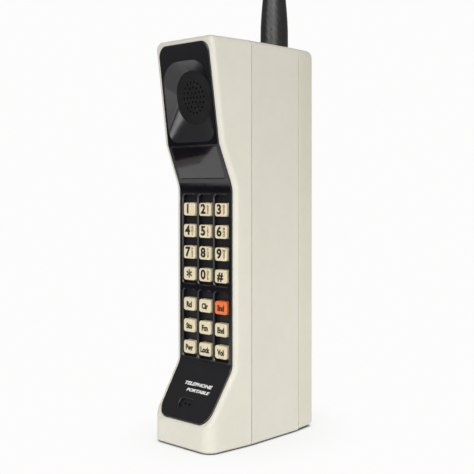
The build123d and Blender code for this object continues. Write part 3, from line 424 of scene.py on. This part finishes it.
def lettering(name, text, size, at, material, body, bold, width=1.0, slant=0.0):
    """Raised ink: upright text facing -Y, its middle at a point, as a mesh that rides on a body."""
    curve = bpy.data.curves.new(name, "FONT")
    curve.body = text
    curve.size = size
    curve.align_x = "CENTER"
    curve.align_y = "CENTER"
    curve.extrude = PRINT_DEPTH
    curve.offset = bold
    curve.shear = slant
    curve.resolution_u = 4
    holder = bpy.data.objects.new(name + "_curve", curve)
    bpy.context.scene.collection.objects.link(holder)
    bpy.context.view_layer.update()
    mesh = bpy.data.meshes.new_from_object(holder.evaluated_get(bpy.context.evaluated_depsgraph_get()))
    bpy.data.objects.remove(holder)
    place = Matrix.Translation(at) @ Matrix.Rotation(math.radians(90), 4, "X")
    mesh.transform(place @ Matrix.Diagonal((width, 1.0, 1.0, 1.0)))
    mesh.materials.clear()
    mesh.materials.append(MATERIALS[material])
    piece = bpy.data.objects.new(name, mesh)
    bpy.context.scene.collection.objects.link(piece)
    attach(piece, body)
    return piece


def key_face(key):
    """The middle of a key's front, a hair outside it, where its ink sits."""
    low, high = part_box(key)
    return (low[0] + high[0]) / 2, low[1] - PRINT_DEPTH / 2, (low[2] + high[2]) / 2


def key_legends():
    for key, (figure, letters) in DIAL_KEYS.items():
        x, y, z = key_face(key)
        right, up, size, bold = FIGURE_PLACES.get(figure, FIGURE_PLACE)
        lettering(key + "_figure", figure, size, (x + right, y, z + up), "ink_black", key, bold,
                  width=FIGURE_WIDTH)
        for i, letter in enumerate(letters):
            at = (x + LETTER_X, y, z + (1 - i) * LETTER_STEP)
            bold = M_BOLD if letter == "M" else LETTER_BOLD
            lettering(f"{key}_letter_{i + 1}", letter, LETTER_SIZE, at, "ink_brown", key, bold)
    for key, word in FUNCTION_KEYS.items():
        x, y, z = key_face(key)
        lettering(key + "_word", word, WORD_SIZE, (x + WORD_X, y, z + WORD_Z), "ink_black", key, WORD_BOLD,
                  width=WORD_WIDTH)


def front_at(node, x, z):
    """Where a line along +Y first meets a CAD node, and how far its face is tilted back, in radians."""
    obj = frame["nodes"][node]
    hit, place, normal, _ = obj.ray_cast(Vector((x, -1.0, z)), Vector((0.0, 1.0, 0.0)))
    return place, -math.atan2(normal.z, -normal.y)


def panel_print():
    """Two lines of plain words on the lower slope of the panel."""
    for name, word, width, size, x, z in PANEL_WORDS:
        place, turn = front_at("front_panel", x * MM, z * MM)
        piece = lettering(name, word, size * MM, (0, 0, 0), "ink_white", "handset", PANEL_WORD_BOLD,
                          slant=PANEL_WORD_SLANT)
        xs = [v.co.x for v in piece.data.vertices]
        stretch = width * MM / (max(xs) - min(xs))
        centre = Matrix.Translation((-(max(xs) + min(xs)) / 2, 0, 0))
        spread = Matrix.Diagonal((stretch, 1.0, 1.0, 1.0))
        piece.data.transform(Matrix.Translation(place) @ Matrix.Rotation(turn, 4, "X") @ spread @ centre)


# ---- studio --------------------------------------------------------------------------------------
TABLE_LEFT, TABLE_CORNER, TABLE_RIGHT = -0.75, -0.243, 1.1
TABLE_FRONT, TABLE_BACK = -1.6, 0.80
EDGE_X, EDGE_Y, EDGE_SLOPE = -0.283, -0.204, -0.22   # a point on the table's cut edge, and its slope
TRIM_WIDTH = 0.012
TRIM_LIFT = 0.6 * MM
TRIM_COLOUR = (1.0, 0.93, 0.90)
TRIM_STRENGTH = 0.42
ROOM_LEFT, ROOM_FRONT = -2.0, -2.4
ROOM_DROP = 4 * MM
ROOM_COLOUR = (0.01, 0.01, 0.02)

SKY_TOWARDS = (0.50, -0.35, 0.79)
SKY_COLOUR = (1.0, 0.995, 0.985)
SKY_LOW, SKY_HIGH = 0.24, 0.50
LIGHT_AIM = Vector((0, 0, 0.12))

VIEW_FROM = (0.3703, -0.3749, 0.1399)
VIEW_AZIMUTH = math.radians(44.66)
VIEW_LENS = 70.25
VIEW_SHIFT = -0.105


def flat_stage(name, corners, z, material, seen_by_camera=True):
    """A flat polygon that isn't part of the object."""
    mesh = bpy.data.meshes.new(name)
    mesh.from_pydata([(x, y, z) for x, y in corners], [], [tuple(range(len(corners)))])
    mesh.materials.append(material)
    card = bpy.data.objects.new(name, mesh)
    card.visible_camera = seen_by_camera
    bpy.context.scene.collection.objects.link(card)
    return card


def edge_at(x, inset=0.0):
    """A corner on the edge where the table ends, in front of the object on the left."""
    return x, EDGE_Y + EDGE_SLOPE * (x - EDGE_X) + inset


def table():
    """The floor. The display reflects its cut edge, the bright trim there and the dark room beyond."""
    floor = [edge_at(TABLE_LEFT), edge_at(TABLE_CORNER), (TABLE_CORNER, TABLE_FRONT),
             (TABLE_RIGHT, TABLE_FRONT), (TABLE_RIGHT, TABLE_BACK), (TABLE_LEFT, TABLE_BACK)]
    flat_stage("floor", floor, 0.0, floor_material())
    trim = [edge_at(TABLE_LEFT), edge_at(TABLE_CORNER), edge_at(TABLE_CORNER, TRIM_WIDTH),
            edge_at(TABLE_LEFT, TRIM_WIDTH)]
    strip = flat_stage("table_trim", trim, TRIM_LIFT, glow("trim_glow", TRIM_COLOUR, TRIM_STRENGTH), False)
    strip.visible_shadow = False
    strip.visible_diffuse = False
    room = [edge_at(ROOM_LEFT), edge_at(TABLE_CORNER), (TABLE_CORNER, ROOM_FRONT), (ROOM_LEFT, ROOM_FRONT)]
    dark = flat_stage("dark_room", room, -ROOM_DROP, glow("dark_glow", ROOM_COLOUR, 1.0), False)
    dark.visible_diffuse = False


def sky():
    """Soft light from all round, brighter from above, behind a plain background."""
    world = bpy.data.worlds.new("studio")
    world.use_nodes = True
    tree = world.node_tree
    ambient = tree.nodes["Background"]
    ambient.inputs["Color"].default_value = (*SKY_COLOUR, 1.0)
    coords = tree.nodes.new("ShaderNodeTexCoord")
    towards = tree.nodes.new("ShaderNodeVectorMath")
    towards.operation = "DOT_PRODUCT"
    towards.inputs[1].default_value = SKY_TOWARDS
    lit = tree.nodes.new("ShaderNodeMapRange")
    lit.interpolation_type = "SMOOTHSTEP"
    for key, number in (("From Min", 0.1), ("From Max", 0.95), ("To Min", SKY_LOW), ("To Max", SKY_HIGH)):
        lit.inputs[key].default_value = number
    seen = tree.nodes.new("ShaderNodeBackground")
    seen.inputs["Color"].default_value = (*BACKGROUND, 1.0)
    path = tree.nodes.new("ShaderNodeLightPath")
    blend = tree.nodes.new("ShaderNodeMixShader")
    tree.links.new(coords.outputs["Generated"], towards.inputs[0])
    tree.links.new(towards.outputs["Value"], lit.inputs["Value"])
    tree.links.new(lit.outputs["Result"], ambient.inputs["Strength"])
    tree.links.new(path.outputs["Is Camera Ray"], blend.inputs[0])
    tree.links.new(ambient.outputs[0], blend.inputs[1])
    tree.links.new(seen.outputs[0], blend.inputs[2])
    tree.links.new(blend.outputs[0], tree.nodes["World Output"].inputs["Surface"])
    bpy.context.scene.world = world


def area_light(name, at, size, power, glossy=True, diffuse=True):
    """A square softbox aimed at the middle of the object, seen by its gloss, its matt colour or both."""
    light = bpy.data.lights.new(name, "AREA")
    light.shape = "SQUARE"
    light.size = size
    light.energy = power
    lamp = bpy.data.objects.new(name, light)
    lamp.location = at
    lamp.rotation_mode = "QUATERNION"
    lamp.rotation_quaternion = (LIGHT_AIM - Vector(at)).to_track_quat("-Z", "Y")
    lamp.visible_glossy = glossy
    lamp.visible_diffuse = diffuse
    bpy.context.scene.collection.objects.link(lamp)


def lights():
    area_light("key_light", (0.60, -0.98, 0.95), size=0.8, power=5.0)
    area_light("camera_light", (0.95, -1.05, 0.60), size=1.2, power=7.9)
    area_light("side_light", (1.30, 0.10, 0.45), size=1.2, power=0.9, glossy=False)
    area_light("front_light", (-0.12, -1.30, 0.62), size=0.60, power=4.2, diffuse=False)
    area_light("top_light", (0.1, 0.3, 1.7), size=1.2, power=2.2, glossy=False)


def camera():
    """A level camera to the right of the front, with the body's height in the frame."""
    data = bpy.data.cameras.new("camera")
    data.sensor_width = 36.0
    data.lens = VIEW_LENS
    data.shift_y = VIEW_SHIFT
    data.clip_end = 30.0
    view = bpy.data.objects.new("camera", data)
    view.location = VIEW_FROM
    view.rotation_euler = (math.radians(90), 0, VIEW_AZIMUTH)
    bpy.context.scene.collection.objects.link(view)
    bpy.context.scene.camera = view


dress_frame()
key_legends()
panel_print()
table()
sky()
lights()
camera()
bpy.context.scene.view_settings.view_transform = "Standard"
